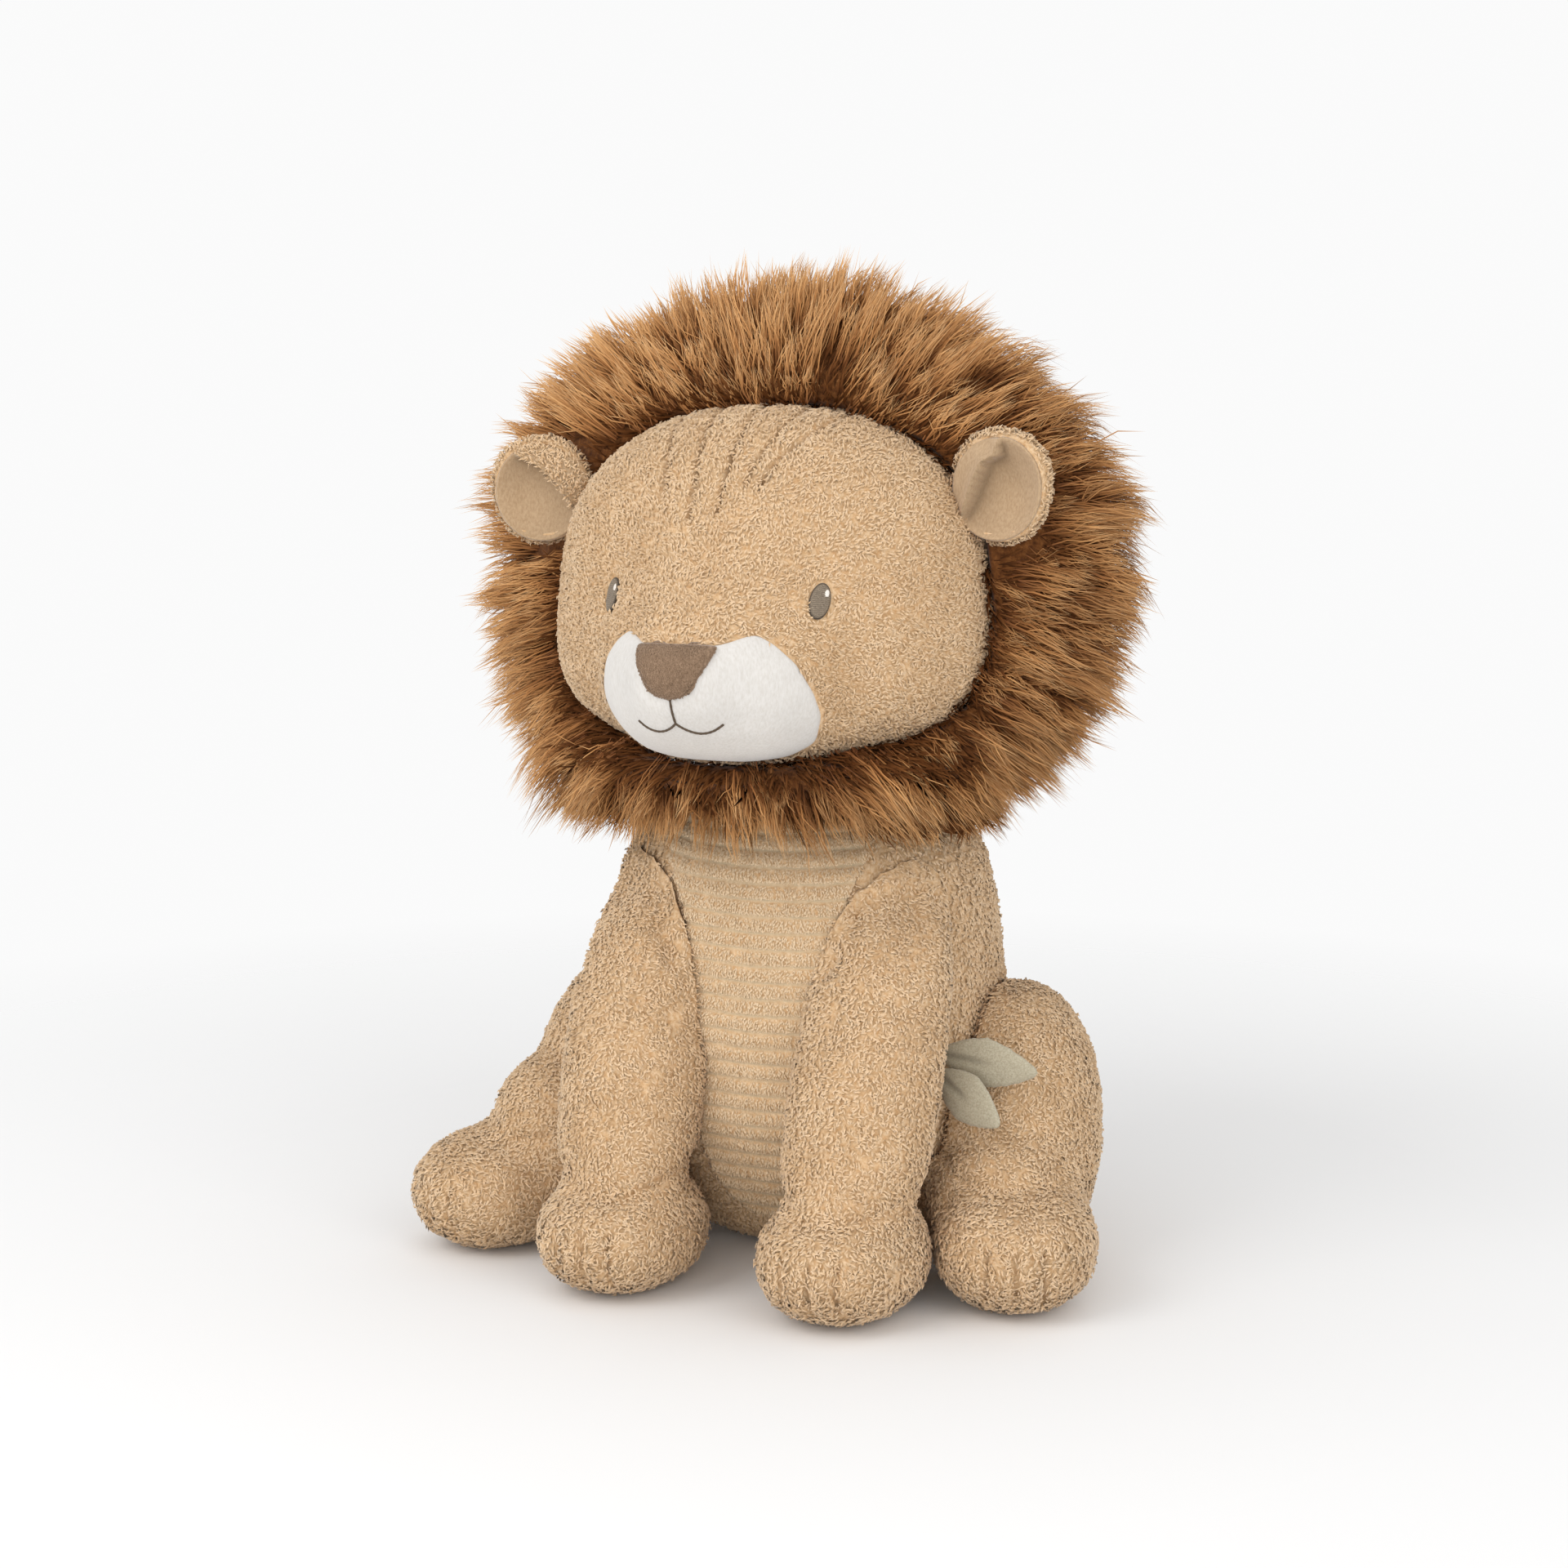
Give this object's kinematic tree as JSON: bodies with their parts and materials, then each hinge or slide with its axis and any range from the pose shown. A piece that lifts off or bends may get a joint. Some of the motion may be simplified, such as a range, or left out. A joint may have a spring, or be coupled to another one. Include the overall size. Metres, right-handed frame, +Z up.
{
  "type": "plush lion",
  "caption": "Sitting plush lion with a long fur mane, cupped ears, embroidered face, ribbed belly panel, hinged legs and a tufted tail.",
  "frame": {"origin": "middle of the seat that the torso rests on", "axes": "+Z up, -Y the way the lion faces, +X to the lion's own left"},
  "size_m": [0.4304, 0.3871, 0.589],
  "materials": {
    "pile": "short curly tan pile",
    "ribbed": "short pile with stitched ribs",
    "white_velour": "smooth off-white velour",
    "beige_velour": "smooth beige velour",
    "brown_velour": "smooth taupe velour",
    "sage_velour": "smooth sage-grey velour",
    "brown_thread": "embroidery thread",
    "taupe_thread": "embroidery thread",
    "long_fur": "long brown fur with golden tips",
    "filling": "loose white fibre",
    "pellet_cloth": "plain woven cloth round pellets"
  },
  "bodies": {
    "torso": {"torso_cover": "pile", "belly_panel": "ribbed", "torso_stuffing": "filling", "pellet_bag": "pellet_cloth"},
    "neck": {"neck": "filling"},
    "head": {"head_cover": "pile", "head_stuffing": "filling", "muzzle_panel": "white_velour", "nose": "brown_velour", "mouth_stitch": "brown_thread", "eye_left": "taupe_thread", "eye_right": "taupe_thread", "mane": "long_fur"},
    "ear_left": {"ear_left_back": "pile", "ear_left_lining": "beige_velour"},
    "ear_right": {"ear_right_back": "pile", "ear_right_lining": "beige_velour"},
    "front_leg_left": {"front_leg_left": "pile", "front_leg_left_stuffing": "filling", "front_paw_left": "pile"},
    "front_leg_right": {"front_leg_right": "pile", "front_leg_right_stuffing": "filling", "front_paw_right": "pile"},
    "hind_leg_left": {"hind_leg_left": "pile", "hind_leg_left_stuffing": "filling", "hind_foot_left": "pile"},
    "hind_leg_right": {"hind_leg_right": "pile", "hind_leg_right_stuffing": "filling", "hind_foot_right": "pile"},
    "leaf_upper": {"leaf_upper": "sage_velour"},
    "leaf_lower": {"leaf_lower": "sage_velour"},
    "tail": {"tail": "pile", "tail_tuft": "long_fur"}
  },
  "joints": [
    {"name": "neck_turn", "type": "hinge", "parent": "torso", "child": "neck", "pos_m": [0, -0.012, 0.318], "axis": [0, 0, 1], "range_deg": [-20, 20], "stiffness_Nm_per_rad": 1.5},
    {"name": "head_nod", "type": "hinge", "parent": "neck", "child": "head", "pos_m": [0, -0.012, 0.318], "axis": [1, 0, 0], "range_deg": [-8, 8], "stiffness_Nm_per_rad": 8},
    {"name": "ear_left_fold", "type": "hinge", "parent": "head", "child": "ear_left", "pos_m": [0.119, -0.071, 0.469], "axis": [0, 0, -1], "range_deg": [0, 35], "stiffness_Nm_per_rad": 0.05},
    {"name": "ear_right_fold", "type": "hinge", "parent": "head", "child": "ear_right", "pos_m": [-0.119, -0.071, 0.469], "axis": [0, 0, 1], "range_deg": [0, 35], "stiffness_Nm_per_rad": 0.05},
    {"name": "front_leg_left_swing", "type": "hinge", "parent": "torso", "child": "front_leg_left", "pos_m": [0.072, -0.053, 0.214], "axis": [-1, 0, 0], "range_deg": [0, 30], "stiffness_Nm_per_rad": 1.5},
    {"name": "front_leg_right_swing", "type": "hinge", "parent": "torso", "child": "front_leg_right", "pos_m": [-0.072, -0.053, 0.214], "axis": [-1, 0, 0], "range_deg": [0, 30], "stiffness_Nm_per_rad": 1.5},
    {"name": "hind_leg_left_splay", "type": "hinge", "parent": "torso", "child": "hind_leg_left", "pos_m": [0.058, 0.066, 0], "axis": [0, 0, 1], "range_deg": [0, 12], "stiffness_Nm_per_rad": 1.5},
    {"name": "hind_leg_right_splay", "type": "hinge", "parent": "torso", "child": "hind_leg_right", "pos_m": [-0.058, 0.066, 0], "axis": [0, 0, -1], "range_deg": [0, 12], "stiffness_Nm_per_rad": 1.5},
    {"name": "leaf_upper_flap", "type": "hinge", "parent": "torso", "child": "leaf_upper", "pos_m": [0.0986, -0.052, 0.1352], "axis": [0, 0, -1], "range_deg": [0, 25], "stiffness_Nm_per_rad": 0.01},
    {"name": "leaf_lower_flap", "type": "hinge", "parent": "torso", "child": "leaf_lower", "pos_m": [0.1012, -0.0549, 0.1146], "axis": [0, 0, -1], "range_deg": [0, 25], "stiffness_Nm_per_rad": 0.01},
    {"name": "tail_swing", "type": "hinge", "parent": "torso", "child": "tail", "pos_m": [0, 0.1078, 0.0247], "axis": [0, 0, 1], "range_deg": [-20, 20], "stiffness_Nm_per_rad": 0.2}
  ]
}
